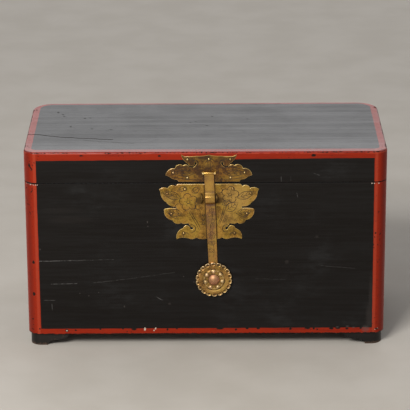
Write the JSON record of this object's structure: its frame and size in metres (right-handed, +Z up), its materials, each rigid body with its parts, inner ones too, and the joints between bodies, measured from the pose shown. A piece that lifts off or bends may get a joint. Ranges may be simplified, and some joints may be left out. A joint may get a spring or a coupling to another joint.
{
  "type": "lift-top chest",
  "caption": "Lacquered lift-top storage chest with rounded corners, bracket feet, scalloped brass lock plates and a long hanging hasp.",
  "frame": {"origin": "on the floor, under the middle of the box that the whole closed chest fills", "axes": "+X along the front to the viewer's right, +Y from front to back, +Z up; the hasp is on the -Y side"},
  "size_m": [0.8, 0.4008, 0.456],
  "materials": {
    "lacquered_wood": "worn black lacquer with painted red borders, satin gloss",
    "black_lacquer": "worn black lacquer, satin gloss",
    "bare_wood": "bare aged softwood",
    "plate_brass": "engraved sheet brass with brown tarnish",
    "hasp_brass": "wrought brass, rubbed bright on the edges",
    "fitting_brass": "cast brass, rubbed bright on top",
    "copper": "satin copper"
  },
  "bodies": {
    "chest": {"body_front_board": "lacquered_wood", "body_back_board": "lacquered_wood", "body_left_end": "lacquered_wood", "body_right_end": "lacquered_wood", "body_floor_board": "bare_wood", "foot_front_left": "black_lacquer", "foot_front_right": "black_lacquer", "foot_back_left": "black_lacquer", "foot_back_right": "black_lacquer", "body_lock_plate": "plate_brass", "body_plate_nails": "fitting_brass", "lock_ear_left": "fitting_brass", "lock_ear_right": "fitting_brass", "hinge_left_body_leaf": "fitting_brass", "hinge_right_body_leaf": "fitting_brass", "hinge_left_pin": "fitting_brass", "hinge_right_pin": "fitting_brass", "body_hinge_nails": "fitting_brass"},
    "lid": {"lid_top_board": "lacquered_wood", "lid_front_rim": "lacquered_wood", "lid_back_rim": "lacquered_wood", "lid_left_rim": "lacquered_wood", "lid_right_rim": "lacquered_wood", "lid_lock_plate": "plate_brass", "lid_plate_nails": "fitting_brass", "hasp_eye_left": "fitting_brass", "hasp_eye_right": "fitting_brass", "hasp_hinge_pin": "fitting_brass", "hinge_left_lid_leaf": "fitting_brass", "hinge_right_lid_leaf": "fitting_brass", "lid_hinge_nails": "fitting_brass"},
    "hasp": {"hasp_strap": "hasp_brass", "hasp_rosette": "hasp_brass", "rosette_studs": "fitting_brass", "rosette_boss": "copper"}
  },
  "joints": [
    {"name": "lid_hinge", "type": "hinge", "parent": "chest", "child": "lid", "pos_m": [0, 0.1974, 0.3852], "axis": [-1, 0, 0], "range_deg": [0, 105]},
    {"name": "hasp_hinge", "type": "hinge", "parent": "lid", "child": "hasp", "pos_m": [0.0075, -0.19085, 0.4086], "axis": [-1, 0, 0], "range_deg": [0, 170]}
  ]
}
